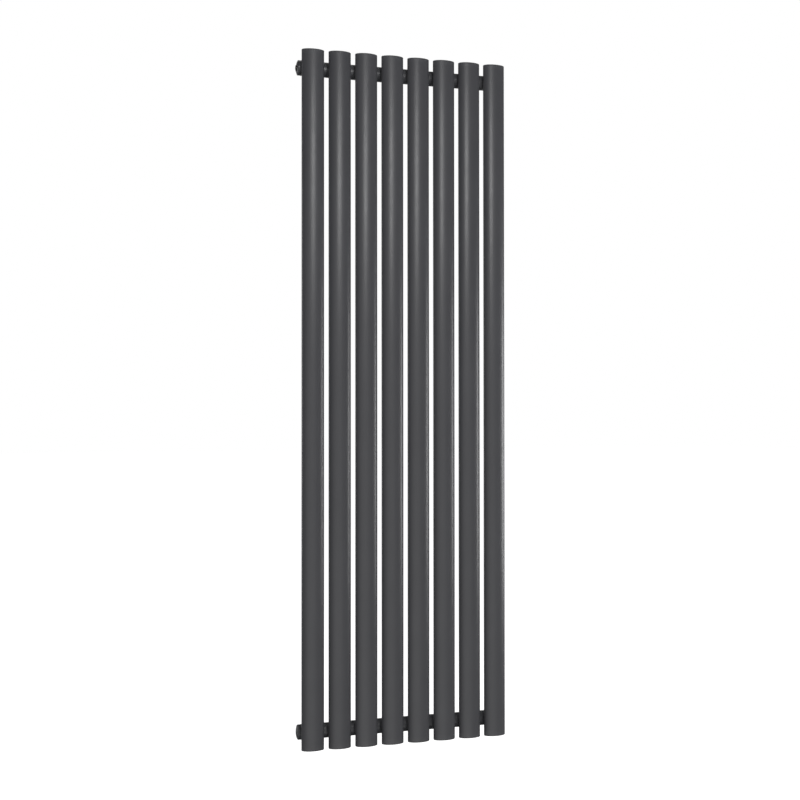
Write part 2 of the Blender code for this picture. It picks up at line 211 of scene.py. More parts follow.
# The floor lies under the hanging radiator. It glows plain white, so that no horizon and no
# shadow shows, and it doesn't light the radiator.
FLOOR_DROP = 0.16
FLOOR_SPAN = 30.0
bpy.ops.object.select_all(action="DESELECT")
bpy.ops.mesh.primitive_plane_add(
    size=FLOOR_SPAN, location=(0, FLOOR_SPAN / 4, cad_low.z - FLOOR_DROP)
)
floor = bpy.context.object
floor.name = "studio_floor"
floor.visible_diffuse = False
floor.visible_glossy = False
floor.visible_shadow = False
pale = bpy.data.materials.new("pale_floor")
pale.use_nodes = True
for socket, value in {
    "Base Color": (0.9, 0.9, 0.9, 1),
    "Roughness": 0.9,
    "Specular IOR Level": 0.0,
    "Emission Color": WHITE,
    "Emission Strength": 1.0,
}.items():
    pale.node_tree.nodes["Principled BSDF"].inputs[socket].default_value = value
floor.data.materials.append(pale)


# ---- Anthracite powder coat ------------------------------------------------------------
# Every steel part that shows is sprayed with a satin polyester powder and baked. It sets
# with a fine orange peel, thins over sharp rims, and holds a trace of dust on its tops.


def new_group(name, inputs, outputs):
    """An empty node group with number and colour sockets, and its two end nodes."""
    group = bpy.data.node_groups.new(name, "ShaderNodeTree")
    for label, kind, value in inputs:
        socket = group.interface.new_socket(label, in_out="INPUT", socket_type=kind)
        socket.default_value = value
    for label, kind in outputs:
        group.interface.new_socket(label, in_out="OUTPUT", socket_type=kind)
    return group, group.nodes.new("NodeGroupInput"), group.nodes.new("NodeGroupOutput")


NUMBER, COLOUR = "NodeSocketFloat", "NodeSocketColor"


def noise(tree, scale, detail, roughness=0.5):
    """Even noise in the part's own coordinates, so that it stays with the metal."""
    place = add_node(tree, "ShaderNodeTexCoord").outputs["Object"]
    return add_node(
        tree,
        "ShaderNodeTexNoise",
        {"Vector": place, "Scale": scale, "Detail": detail, "Roughness": roughness},
    ).outputs["Fac"]


def spread(tree, value, low, high, to_low, to_high):
    """Takes a value from one level to another between two marks, in a straight line."""
    return ramp(tree, value, low, high, to_low, to_high, "LINEAR")


# Nearly all of a noise's values lie between these.
NOISE_RANGE = (0.3, 0.7)


def swing(tree, value):
    """Turns noise into a swing between -1 and 1."""
    return spread(tree, value, *NOISE_RANGE, -1.0, 1.0)


def mix_colours(tree, share, first, second, blend="MIX"):
    """Lays the second colour on the first by its share."""
    return add_node(
        tree,
        "ShaderNodeMix",
        {0: share, 6: first, 7: second},
        data_type="RGBA",
        blend_type=blend,
    ).outputs[2]


# Slow patches, fine specks and peel, for anything with a sprayed, moulded or plated skin.
# The patches of tint are about a hand wide and those of gloss about a thumb wide.
TINT_PATCHES = 9.0
GLOSS_PATCHES = 26.0
SPECK_TINT = 0.02
SPECK_HEIGHT = 0.25

skin_group, given, result = new_group(
    "surface_skin",
    [
        ("Colour", COLOUR, (0.5, 0.5, 0.5, 1)),
        ("Patch tint", NUMBER, 0.05),
        ("Roughness", NUMBER, 0.4),
        ("Roughness spread", NUMBER, 0.05),
        ("Peel scale", NUMBER, 500.0),
        ("Speck scale", NUMBER, 2500.0),
    ],
    [("Colour", COLOUR), ("Roughness", NUMBER), ("Height", NUMBER)],
)
tree = skin_group
slow = noise(tree, TINT_PATCHES, 2.0)
specks = noise(tree, given.outputs["Speck scale"], 1.0)
peel = noise(tree, given.outputs["Peel scale"], 2.0, 0.55)
tint = sums(tree, "MULTIPLY", swing(tree, slow), given.outputs["Patch tint"])
tint = sums(tree, "MULTIPLY_ADD", swing(tree, specks), SPECK_TINT, tint)
level = sums(tree, "ADD", tint, 1.0)
grey = add_node(tree, "ShaderNodeCombineXYZ", {0: level, 1: level, 2: level}).outputs[0]
tinted = mix_colours(tree, 1.0, given.outputs["Colour"], grey, "MULTIPLY")
tree.links.new(tinted, result.inputs["Colour"])
uneven = sums(
    tree,
    "MULTIPLY",
    swing(tree, noise(tree, GLOSS_PATCHES, 3.0)),
    given.outputs["Roughness spread"],
)
tree.links.new(sums(tree, "ADD", uneven, given.outputs["Roughness"]), result.inputs["Roughness"])
relief = sums(tree, "MULTIPLY_ADD", specks, SPECK_HEIGHT, peel)
tree.links.new(relief, result.inputs["Height"])

# Worn rims: the mask is strongest on the marked edges and is broken up by noise.
wear_group, given, result = new_group(
    "rim_wear", [("Amount", NUMBER, 0.5), ("Scale", NUMBER, 160.0)], [("Mask", NUMBER)]
)
tree = wear_group
rim = add_node(tree, "ShaderNodeAttribute", attribute_name="rim").outputs["Fac"]
scuffs = noise(tree, given.outputs["Scale"], 4.0, 0.65)
broken = spread(tree, scuffs, 0.35, 0.65, 0.25, 1.0)
mask = sums(tree, "MULTIPLY", sums(tree, "MULTIPLY", rim, broken), given.outputs["Amount"])
tree.links.new(mask, result.inputs["Mask"])

# Dust: a thin pale film where the surface faces up.
DUST_COLOUR = (0.42, 0.41, 0.39, 1)
DUST_ROUGHNESS = 0.5
DUST_PATCHES = 60.0
DUST_SLOPE = (0.55, 0.98)

dust_group, given, result = new_group("settled_dust", [("Amount", NUMBER, 0.1)], [("Mask", NUMBER)])
tree = dust_group
facing = add_node(
    tree, "ShaderNodeSeparateXYZ", {0: add_node(tree, "ShaderNodeNewGeometry").outputs["Normal"]}
).outputs[2]
film = sums(
    tree,
    "MULTIPLY",
    spread(tree, facing, *DUST_SLOPE, 0.0, 1.0),
    spread(tree, noise(tree, DUST_PATCHES, 4.0, 0.6), *NOISE_RANGE, 0.4, 1.0),
)
tree.links.new(sums(tree, "MULTIPLY", film, given.outputs["Amount"]), result.inputs["Mask"])


def use_group(tree, group, inputs):
    """Places a shared effect in a material, with the material's own values."""
    return add_node(tree, "ShaderNodeGroup", inputs, node_tree=group)


def finish(name, colour, roughness, metallic, skin, wear, dust, bump):
    """A material of the shared effects: skin, worn rims and dust around one shader."""
    made = bpy.data.materials.new(name)
    made.use_nodes = True
    tree = made.node_tree
    shader = tree.nodes["Principled BSDF"]
    base = use_group(tree, skin_group, {"Colour": (*colour, 1), "Roughness": roughness, **skin})
    worn = use_group(tree, wear_group, {"Amount": wear["amount"]}).outputs["Mask"]
    dusty = use_group(tree, dust_group, {"Amount": dust}).outputs["Mask"]
    body = mix_colours(tree, worn, base.outputs["Colour"], (*wear["colour"], 1))
    body = mix_colours(tree, dusty, body, DUST_COLOUR)
    tree.links.new(body, shader.inputs["Base Color"])
    rough = sums(tree, "MULTIPLY_ADD", worn, wear["roughness"], base.outputs["Roughness"])
    rough = sums(tree, "MULTIPLY_ADD", dusty, DUST_ROUGHNESS, rough, clamp=True)
    tree.links.new(rough, shader.inputs["Roughness"])
    raised = add_node(
        tree,
        "ShaderNodeBump",
        {"Height": base.outputs["Height"], "Strength": 1.0, "Distance": bump},
    )
    tree.links.new(raised.outputs[0], shader.inputs["Normal"])
    shader.inputs["Metallic"].default_value = metallic
    return made


powder_coat = finish(
    "anthracite_powder_coat",
    colour=(0.0895, 0.0902, 0.0982),
    roughness=0.33,
    metallic=0.0,
    skin={"Patch tint": 0.035, "Roughness spread": 0.025, "Peel scale": 420.0, "Speck scale": 2200.0},
    wear={"amount": 0.35, "colour": (0.15, 0.155, 0.16), "roughness": -0.06},
    dust=0.03,
    bump=0.00007,
)


# ---- Oval tubes ------------------------------------------------------------------------
# Eight welded steel tubes rolled to an oval, 1.5 mm thick, with a drilled port behind each
# header. They stand upright side by side and carry the water between the headers.

TUBE_SIDES = 128
TUBE_WALL = 0.0015
JOINT_CHAMFER = 0.00015
PORT_RADIUS = 0.0088
PORT_SIDES = 48
RING_BELOW_LID = 0.01
RING_BELOW_HEADER = 0.02
SMOOTH_ANGLE = math.radians(35)
MERGE_DISTANCE = 0.000002
HAIR = 1e-5
SQUARE_EDGE = 1.0
RIM_FROM = 0.2
RIM_SPAN = 0.25


def pick(test, mode):
    """Selects the verts, edges or faces of the piece in hand that pass the test, by mode."""
    flags = (mode == "VERT", mode == "EDGE", mode == "FACE")
    bpy.context.tool_settings.mesh_select_mode = flags
    bpy.ops.mesh.select_all(action="DESELECT")
    hand = bpy.context.edit_object.data
    bm = bmesh.from_edit_mesh(hand)
    items = {"VERT": bm.verts, "EDGE": bm.edges, "FACE": bm.faces}[mode]
    for item in items:
        if test(item):
            item.select_set(True)
    bm.select_flush_mode()
    bmesh.update_edit_mesh(hand)


def take(piece):
    """Makes this the one piece in hand."""
    bpy.ops.object.select_all(action="DESELECT")
    piece.select_set(True)
    bpy.context.view_layer.objects.active = piece


def begin_edit(piece):
    """Takes the piece in hand and opens its mesh."""
    take(piece)
    bpy.ops.object.mode_set(mode="EDIT")


def end_edit():
    """Closes the mesh in hand."""
    bpy.ops.object.mode_set(mode="OBJECT")


def set_in_place():
    """Puts the place, turn and size of the piece in hand into its mesh."""
    bpy.ops.object.transform_apply(location=True, rotation=True, scale=True)


def apply_step(piece, kind, **settings):
    """Adds a modifier with its settings and makes its result the mesh."""
    take(piece)
    step = piece.modifiers.new(kind.lower(), kind)
    for key, value in settings.items():
        setattr(step, key, value)
    bpy.ops.object.modifier_apply(modifier=step.name)


def cut(piece, cutter, operation="DIFFERENCE"):
    """Cuts the cutter from the piece, or welds it on, and takes the cutter away."""
    apply_step(piece, "BOOLEAN", object=cutter, operation=operation, solver="EXACT")
    bpy.data.objects.remove(cutter)


def rod(start, end, radius, sides, name="rod"):
    """A round bar between two points."""
    bpy.ops.object.select_all(action="DESELECT")
    span = Vector(end) - Vector(start)
    bpy.ops.mesh.primitive_cylinder_add(
        vertices=sides,
        radius=radius,
        depth=span.length,
        location=(Vector(start) + Vector(end)) / 2,
        rotation=span.to_track_quat("Z", "Y").to_euler(),
    )
    set_in_place()
    bpy.context.object.name = name
    return bpy.context.object


def clean_up(piece):
    """Closes the mesh, points its faces out, and smooths all but its real edges."""
    begin_edit(piece)
    bpy.ops.mesh.select_all(action="SELECT")
    bpy.ops.mesh.remove_doubles(threshold=MERGE_DISTANCE)
    bpy.ops.mesh.select_all(action="SELECT")
    bpy.ops.mesh.normals_make_consistent(inside=False)
    end_edit()
    take(piece)
    bpy.ops.object.shade_smooth_by_angle(angle=SMOOTH_ANGLE)
    mark_rims(piece)
    apply_step(piece, "WEIGHTED_NORMAL", mode="FACE_AREA", weight=50, keep_sharp=True)


def mark_rims(piece):
    """Stores how sharply the surface turns at each point, for the wear on rims."""
    bm = bmesh.new()
    bm.from_mesh(piece.data)
    layer = bm.verts.layers.float.new("rim")
    for vert in bm.verts:
        bends = [e.calc_face_angle(0.0) for e in vert.link_edges if e.is_manifold]
        vert[layer] = min(1.0, max(0.0, (max(bends, default=0.0) - RIM_FROM) / RIM_SPAN))
    bm.to_mesh(piece.data)
    bm.free()


def copy_piece(piece, name, matrix):
    """Another of the same piece, with a mesh of its own."""
    twin = piece.copy()
    twin.data = piece.data.copy()
    twin.name = twin.data.name = name
    twin.data.transform(matrix)
    scene.collection.objects.link(twin)
    return twin


def fit(piece, material, slot, body, *nodes):
    """Gives a finished piece its material and its place on the frame."""
    piece.data.materials.clear()
    piece.data.materials.append(material)
    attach(piece, body)
    if nodes:
        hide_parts(*nodes)


tube_low, tube_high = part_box("tube_1")
cap_low, cap_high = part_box("top_cap_1")
header_low, header_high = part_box("top_header")
tube_places = [sum((c.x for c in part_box(f"tube_{n}")), 0.0) / 2 for n in range(1, 9)]
tube_half_width = (tube_high.x - tube_low.x) / 2
tube_half_depth = (tube_high.y - tube_low.y) / 2
tube_y = (tube_high.y + tube_low.y) / 2
lid_seat = cap_low.z
header_radius = (header_high.z - header_low.z) / 2
header_y = header_high.y - header_radius
header_z = (header_high.z + header_low.z) / 2
levels = {"top": header_z, "bottom": -header_z}

bpy.ops.object.select_all(action="DESELECT")
bpy.ops.mesh.primitive_cylinder_add(
    vertices=TUBE_SIDES,
    radius=1,
    depth=2 * lid_seat,
    end_fill_type="NOTHING",
    location=(tube_places[0], tube_y, 0),
    scale=(tube_half_width, tube_half_depth, 1),
)
tube = bpy.context.object
tube.name = tube.data.name = "oval_tube_1"
set_in_place()
apply_step(tube, "SOLIDIFY", thickness=TUBE_WALL, offset=-1, use_even_offset=True)
begin_edit(tube)
# Rings on both sides of the ports keep the long flanks clear of the ports' cuts.
ring_heights = (lid_seat - RING_BELOW_LID, header_z - RING_BELOW_HEADER)
for z in (*ring_heights, *(-h for h in reversed(ring_heights))):
    bpy.ops.mesh.select_all(action="SELECT")
    bpy.ops.mesh.bisect(plane_co=(0, 0, z), plane_no=(0, 0, 1))
pick(
    lambda e: all(abs(abs(v.co.z) - lid_seat) < HAIR for v in e.verts)
    and e.calc_face_angle(0.0) > SQUARE_EDGE,
    "EDGE",
)
bpy.ops.mesh.bevel(offset=JOINT_CHAMFER, segments=1, affect="EDGES")
end_edit()
for z in levels.values():
    drill_start = (tube_places[0], header_y, z)
    drill_end = (tube_places[0], tube_y, z)
    cut(tube, rod(drill_start, drill_end, PORT_RADIUS, PORT_SIDES))
clean_up(tube)
tubes = [tube]
for number, x in enumerate(tube_places[1:], start=2):
    step = Matrix.Translation((x - tube_places[0], 0, 0))
    tubes.append(copy_piece(tube, f"oval_tube_{number}", step))
for number, piece in enumerate(tubes, start=1):
    fit(piece, powder_coat, "powder_coat", "radiator", f"tube_{number}")


# ---- Tube lids -------------------------------------------------------------------------
# A 3 mm oval plate closes each end of every tube. It is welded round its edge, ground
# flush with the tube and eased at the rim before spraying.

LID_EDGE = 0.0009
LID_EDGE_STEPS = 3
LID_INSET = 0.0025
FACES_UP = 0.999

bpy.ops.object.select_all(action="DESELECT")
bpy.ops.mesh.primitive_cylinder_add(
    vertices=TUBE_SIDES,
    radius=1,
    depth=cap_high.z - cap_low.z,
    location=(tube_places[0], tube_y, (cap_high.z + cap_low.z) / 2),
    scale=(tube_half_width, tube_half_depth, 1),
)
lid = bpy.context.object
lid.name = lid.data.name = "top_lid_1"
set_in_place()
begin_edit(lid)
pick(lambda e: all(v.co.z > cap_high.z - HAIR for v in e.verts), "EDGE")
bpy.ops.mesh.bevel(offset=LID_EDGE, segments=LID_EDGE_STEPS, profile=0.5, affect="EDGES")
pick(lambda e: all(v.co.z < cap_low.z + HAIR for v in e.verts), "EDGE")
bpy.ops.mesh.bevel(offset=JOINT_CHAMFER, segments=1, affect="EDGES")
pick(lambda f: f.normal.z > FACES_UP and len(f.verts) == TUBE_SIDES, "FACE")
bpy.ops.mesh.inset(thickness=LID_INSET, depth=0.0)
end_edit()
clean_up(lid)
turn_over = Matrix.Rotation(math.pi, 4, "X")
to_axis = Matrix.Translation((0, tube_y, 0))
for number, x in enumerate(tube_places, start=1):
    step = Matrix.Translation((x - tube_places[0], 0, 0))
    upper = lid if number == 1 else copy_piece(lid, f"top_lid_{number}", step)
    lower = copy_piece(
        lid, f"bottom_lid_{number}", step @ to_axis @ turn_over @ to_axis.inverted()
    )
    fit(upper, powder_coat, "powder_coat", "radiator", f"top_cap_{number}")
    fit(lower, powder_coat, "powder_coat", "radiator", f"bottom_cap_{number}")


# ---- Headers ---------------------------------------------------------------------------
# Two round steel pipes lie across the backs of the tubes, near the top and the bottom.
# A collar is drawn out of the pipe into each tube's port and welded there.

HEADER_SIDES = 96
HEADER_WALL = 0.002
COLLAR_RADIUS = 0.0085
COLLAR_WALL = 0.0017
END_CHAMFER = 0.0004
BORE_OVERRUN = 0.01

end_x = header_high.x
collar_end_y = tube_high.y - TUBE_WALL
header = rod((-end_x, header_y, header_z), (end_x, header_y, header_z), header_radius, HEADER_SIDES)
header.name = header.data.name = "top_header_pipe"
begin_edit(header)
pick(lambda e: all(abs(abs(v.co.x) - end_x) < HAIR for v in e.verts), "EDGE")
bpy.ops.mesh.bevel(offset=END_CHAMFER, segments=1, affect="EDGES")
end_edit()
for x in tube_places:
    collar = rod((x, header_y, header_z), (x, collar_end_y, header_z), COLLAR_RADIUS, PORT_SIDES)
    cut(header, collar, "UNION")
reach = end_x + BORE_OVERRUN
bore = header_radius - HEADER_WALL
cut(header, rod((-reach, header_y, header_z), (reach, header_y, header_z), bore, HEADER_SIDES))
for x in tube_places:
    mouth = (x, collar_end_y - BORE_OVERRUN, header_z)
    cut(header, rod((x, header_y, header_z), mouth, COLLAR_RADIUS - COLLAR_WALL, PORT_SIDES))
clean_up(header)
low_header = copy_piece(header, "bottom_header_pipe", Matrix.Translation((0, 0, -2 * header_z)))
fit(header, powder_coat, "powder_coat", "radiator", "top_header")
fit(low_header, powder_coat, "powder_coat", "radiator", "bottom_header")


# ---- Header sockets --------------------------------------------------------------------
# A turned steel ring with the threaded tapping is pushed into each header end and welded.
# Its face has a shallow recess for the seal.

LATHE_SIDES = 96
TAPPING_RADIUS = 0.0095
SEAL_RECESS_RADIUS = 0.012
SEAL_RECESS_DEPTH = 0.0017
SOCKET_LENGTH = 0.008
SPIGOT_LENGTH = 0.010
SPIGOT_GAP = 0.0003
SOCKET_EDGE = 0.0006
# The middle of a quarter round lies this share of its radius in from the square corner.
ROUND_MIDDLE = 0.3


def turn_on_lathe(name, outline, sides=LATHE_SIDES, closed=False):
    """Draws a ring out along an outline of (distance along X, radius). A closed outline
    makes a ring-shaped piece; an open one is filled at both its ends."""
    bpy.ops.object.select_all(action="DESELECT")
    along, radius = outline[0]
    bpy.ops.mesh.primitive_circle_add(
        vertices=sides,
        radius=radius,
        fill_type="NOTHING" if closed else "NGON",
        location=(along, 0, 0),
        rotation=(0, math.pi / 2, 0),
    )
    piece = bpy.context.object
    piece.name = piece.data.name = name
    set_in_place()
    begin_edit(piece)
    bpy.context.tool_settings.mesh_select_mode = (False, True, False)
    bpy.ops.mesh.select_all(action="SELECT")
    for (start, old), (stop, new) in zip(outline, outline[1:]):
        bpy.ops.mesh.extrude_region_move(TRANSFORM_OT_translate={"value": (stop - start, 0, 0)})
        if new != old:
            bpy.ops.transform.resize(value=(1, new / old, new / old), center_override=(0, 0, 0))
    pick(lambda e: len(e.link_faces) == 1, "EDGE")
    if closed:
        bpy.ops.mesh.bridge_edge_loops()
    else:
        bpy.ops.mesh.edge_face_add()
    end_edit()
    return piece


def ease_edges(piece, width, steps=2, angle=30):
    """Rounds every edge that is sharper than the angle."""
    apply_step(
        piece,
        "BEVEL",
        width=width,
        segments=steps,
        limit_method="ANGLE",
        angle_limit=math.radians(angle),
        use_clamp_overlap=True,
    )


socket_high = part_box("top_right_socket")[1]
face_x = socket_high.x
ends = {
    f"{level}_{side}": Matrix.Translation((sign * face_x, header_y, z))
    @ Matrix.Rotation(0 if sign > 0 else math.pi, 4, "Z")
    for level, z in levels.items()
    for side, sign in (("left", -1), ("right", 1))
}
socket = turn_on_lathe(
    "socket",
    [
        (-SEAL_RECESS_DEPTH, TAPPING_RADIUS),
        (-SEAL_RECESS_DEPTH, SEAL_RECESS_RADIUS),
        (0, SEAL_RECESS_RADIUS),
        (0, header_radius - SOCKET_EDGE),
        (-SOCKET_EDGE * ROUND_MIDDLE, header_radius - SOCKET_EDGE * ROUND_MIDDLE),
        (-SOCKET_EDGE, header_radius),
        (-SOCKET_LENGTH + END_CHAMFER, header_radius),
        (-SOCKET_LENGTH, header_radius - END_CHAMFER),
        (-SOCKET_LENGTH, header_radius - HEADER_WALL - SPIGOT_GAP),
        (-SOCKET_LENGTH - SPIGOT_LENGTH, header_radius - HEADER_WALL - SPIGOT_GAP),
        (-SOCKET_LENGTH - SPIGOT_LENGTH, TAPPING_RADIUS),
    ],
    closed=True,
)
clean_up(socket)
for end, place in ends.items():
    piece = copy_piece(socket, f"{end}_threaded_socket", place)
    fit(piece, powder_coat, "powder_coat", "radiator", f"{end}_socket")
bpy.data.objects.remove(socket)


# ---- Seals -----------------------------------------------------------------------------
# A flat black rubber ring lies in each socket's recess, pressed by the plug's head.

SEAL_INNER_RADIUS = 0.0095
SEAL_RADIUS = 0.0117
SEAL_THICKNESS = 0.0014
SEAL_EDGE = 0.0002

rubber = finish(
    "seal_rubber",
    colour=(0.012, 0.012, 0.0125),
    roughness=0.72,
    metallic=0.0,
    skin={"Patch tint": 0.15, "Roughness spread": 0.08, "Peel scale": 900.0, "Speck scale": 4000.0},
    wear={"amount": 0.5, "colour": (0.03, 0.03, 0.03), "roughness": 0.1},
    dust=0.06,
    bump=0.00002,
)
seal = turn_on_lathe(
    "seal",
    [
        (0, SEAL_INNER_RADIUS),
        (0, SEAL_RADIUS),
        (-SEAL_THICKNESS, SEAL_RADIUS),
        (-SEAL_THICKNESS, SEAL_INNER_RADIUS),
    ],
    closed=True,
)
ease_edges(seal, SEAL_EDGE)
clean_up(seal)
for end, place in ends.items():
    piece = copy_piece(seal, f"{end}_seal_ring", place)
    fit(piece, rubber, "black_rubber", "radiator", f"{end}_seal")
bpy.data.objects.remove(seal)


# ---- Blank plugs -----------------------------------------------------------------------
# A steel plug with a low domed head closes each tapping that isn't used. The head has a
# slot for a coin or a driver and is sprayed with the radiator.

PLUG_HEAD_RADIUS = 0.013
PLUG_HEAD_EDGE = 0.0012
PLUG_CROWN = 0.00315
PLUG_LENGTH = 0.0125
PLUG_SHANK_RADIUS = 0.0092
PLUG_SLOT_WIDTH = 0.0025
PLUG_SLOT_DEPTH = 0.0016
PLUG_SLOT_LENGTH = 0.03
PLUG_SLOT_EDGE = 0.0003
PLUG_SEAT = 0.00005
PLUG_TIP_CHAMFER = 0.0008
PLUG_UNDER_CHAMFER = 0.0002
DOME_STEPS = 12
DOME_FLAT = 0.0004
# The head's upper rim is rounded over these steps, down from its edge and in from its side.
RIM_DROPS = (0.00025, 0.00005)
RIM_INSETS = (0.0001, 0.0003)


def dome(start_radius, end_radius, steps):
    """Points along the crowned face of a plug head, from the rim inwards."""
    rise = PLUG_CROWN - PLUG_HEAD_EDGE
    radii = [start_radius + (end_radius - start_radius) * i / steps for i in range(steps + 1)]
    return [(PLUG_CROWN - rise * (r / PLUG_HEAD_RADIUS) ** 2, r) for r in radii]


def plug_outline(end_radius):
    """Shank, underside and eased rim of a plug, then its dome in to the end radius."""
    return [
        (-PLUG_LENGTH, PLUG_SHANK_RADIUS - PLUG_TIP_CHAMFER),
        (-PLUG_LENGTH + PLUG_TIP_CHAMFER, PLUG_SHANK_RADIUS),
        (PLUG_SEAT, PLUG_SHANK_RADIUS),
        (PLUG_SEAT, PLUG_HEAD_RADIUS - PLUG_UNDER_CHAMFER),
        (PLUG_SEAT + PLUG_UNDER_CHAMFER, PLUG_HEAD_RADIUS),
        (PLUG_HEAD_EDGE - RIM_DROPS[0], PLUG_HEAD_RADIUS),
        (PLUG_HEAD_EDGE - RIM_DROPS[1], PLUG_HEAD_RADIUS - RIM_INSETS[0]),
        *dome(PLUG_HEAD_RADIUS - RIM_INSETS[1], end_radius, DOME_STEPS),
    ]


def cut_slot(piece):
    """The driver slot across the dome, with eased edges."""
    cutter_height = 0.01
    bpy.ops.object.select_all(action="DESELECT")
    bpy.ops.mesh.primitive_cube_add(
        size=1,
        location=(PLUG_CROWN - PLUG_SLOT_DEPTH + cutter_height / 2, 0, 0),
        scale=(cutter_height, PLUG_SLOT_LENGTH, PLUG_SLOT_WIDTH),
    )
    cutter = bpy.context.object
    set_in_place()
    begin_edit(cutter)
    pick(
        lambda e: all(v.co.x < PLUG_CROWN for v in e.verts)
        and abs(e.verts[0].co.y - e.verts[1].co.y) > PLUG_SLOT_LENGTH / 2,
        "EDGE",
    )
    bpy.ops.mesh.bevel(offset=PLUG_SLOT_EDGE, segments=3, affect="EDGES")
    end_edit()
    cut(piece, cutter)


plug = turn_on_lathe("plug", plug_outline(DOME_FLAT))
cut_slot(plug)
clean_up(plug)
for end, place in ends.items():
    if end != "top_left":
        piece = copy_piece(plug, f"{end}_blank_plug", place)
        fit(piece, powder_coat, "powder_coat", "radiator", f"{end}_plug")
bpy.data.objects.remove(plug)


# ---- Air-bleed valve -------------------------------------------------------------------
# At the top left the plug holds a bleed valve: a pocket with a black plastic ring whose
# spout turns to any side, and in it a nickel-plated screw with a square key.

SPOUT_RADIUS = 0.0052
SPOUT_FACE = PLUG_CROWN + 0.0012
SPOUT_DEPTH = 0.0031
SPOUT_GAP = 0.0003
NOZZLE_REACH = 0.0078
NOZZLE_WIDTH = 0.0036
NOZZLE_THICKNESS = 0.0012
NOZZLE_ROUND = 0.0010
SPOUT_EDGE = 0.00015
DRIP_HOLE_RADIUS = 0.0006
DRIP_HOLE_DEPTH = 0.0006
DRIP_HOLE_FROM_END = 0.0017
POCKET_CHAMFER = 0.0002
POCKET_LIP = 0.0006
KEY_WIDTH = 0.004
KEY_RECESS = 0.0003
KEY_EDGE = 0.0002
KEY_ROOT = 0.001
DIMPLE_RADIUS = 0.0007
DIMPLE_DEPTH = 0.0003
VENT_SCREW_RADIUS = 0.00175
VENT_SCREW_LENGTH = 0.010
VENT_CONE_LENGTH = 0.0015
VENT_CONE_TIP = 0.0003
VENT_BORE_END = 0.001
CUT_OVERRUN = 0.001
SMALL_SIDES = 24

pocket_floor = SPOUT_FACE - SPOUT_DEPTH - SPOUT_GAP
pocket_radius = SPOUT_RADIUS + SPOUT_GAP
stem_bore = VENT_SCREW_RADIUS + SPOUT_GAP
key_base = pocket_floor + SPOUT_GAP
stem_end = key_base - VENT_SCREW_LENGTH
cone_start = stem_end + VENT_CONE_LENGTH
vent_place = ends["top_left"]

vent_body = turn_on_lathe(
    "vent_plug",
    plug_outline(pocket_radius + POCKET_CHAMFER)
    + [
        (PLUG_CROWN - POCKET_LIP, pocket_radius),
        (pocket_floor, pocket_radius),
        (pocket_floor, stem_bore),
        (cone_start, stem_bore),
        (stem_end, VENT_BORE_END),
        (-PLUG_LENGTH, VENT_BORE_END),
    ],
    closed=True,
)
cut_slot(vent_body)
clean_up(vent_body)
vent_body.data.transform(vent_place)
fit(vent_body, powder_coat, "powder_coat", "radiator", "vent_body")

black_plastic = finish(
    "moulded_black_plastic",
    colour=(0.02, 0.02, 0.021),
    roughness=0.42,
    metallic=0.0,
    skin={"Patch tint": 0.08, "Roughness spread": 0.05, "Peel scale": 1500.0, "Speck scale": 6000.0},
    wear={"amount": 0.4, "colour": (0.05, 0.05, 0.05), "roughness": 0.08},
    dust=0.05,
    bump=0.000008,
)
spout_bore = KEY_WIDTH / math.sqrt(2) + SPOUT_GAP
spout = turn_on_lathe(
    "vent_spout_ring",
    [
        (SPOUT_FACE - SPOUT_DEPTH, spout_bore),
        (SPOUT_FACE - SPOUT_DEPTH, SPOUT_RADIUS),
        (SPOUT_FACE, SPOUT_RADIUS),
        (SPOUT_FACE, spout_bore),
    ],
    closed=True,
)
bpy.ops.object.select_all(action="DESELECT")
nozzle_start = (SPOUT_RADIUS + spout_bore) / 2
bpy.ops.mesh.primitive_cube_add(
    size=1,
    location=(SPOUT_FACE - NOZZLE_THICKNESS / 2, 0, -(NOZZLE_REACH + nozzle_start) / 2),
    scale=(NOZZLE_THICKNESS, NOZZLE_WIDTH, NOZZLE_REACH - nozzle_start),
)
nozzle = bpy.context.object
set_in_place()
begin_edit(nozzle)
pick(
    lambda e: all(v.co.z < -SPOUT_RADIUS for v in e.verts)
    and abs(e.verts[0].co.y - e.verts[1].co.y) < HAIR,
    "EDGE",
)
bpy.ops.mesh.bevel(offset=NOZZLE_ROUND, segments=5, affect="EDGES")
end_edit()
cut(spout, nozzle, "UNION")
ease_edges(spout, SPOUT_EDGE)
drip_z = -NOZZLE_REACH + DRIP_HOLE_FROM_END
drip_floor = (SPOUT_FACE - DRIP_HOLE_DEPTH, 0, drip_z)
cut(spout, rod(drip_floor, (SPOUT_FACE + CUT_OVERRUN, 0, drip_z), DRIP_HOLE_RADIUS, SMALL_SIDES))
clean_up(spout)
spout.data.transform(vent_place)
fit(spout, black_plastic, "black_plastic", "vent_spout", "vent_spout")

nickel = finish(
    "nickel_plate",
    colour=(0.46, 0.45, 0.43),
    roughness=0.38,
    metallic=1.0,
    skin={"Patch tint": 0.06, "Roughness spread": 0.06, "Peel scale": 1800.0, "Speck scale": 7000.0},
    wear={"amount": 0.6, "colour": (0.70, 0.60, 0.38), "roughness": -0.05},
    dust=0.03,
    bump=0.000006,
)
screw = turn_on_lathe(
    "vent_bleed_screw",
    [
        (stem_end, VENT_CONE_TIP),
        (cone_start, VENT_SCREW_RADIUS),
        (key_base + KEY_ROOT, VENT_SCREW_RADIUS),
    ],
    sides=48,
)
bpy.ops.object.select_all(action="DESELECT")
key_end = SPOUT_FACE - KEY_RECESS
bpy.ops.mesh.primitive_cube_add(
    size=1,
    location=((key_base + key_end) / 2, 0, 0),
    scale=(key_end - key_base, KEY_WIDTH, KEY_WIDTH),
)
key = bpy.context.object
set_in_place()
ease_edges(key, KEY_EDGE, steps=3)
dimple_floor = (key_end - DIMPLE_DEPTH, 0, 0)
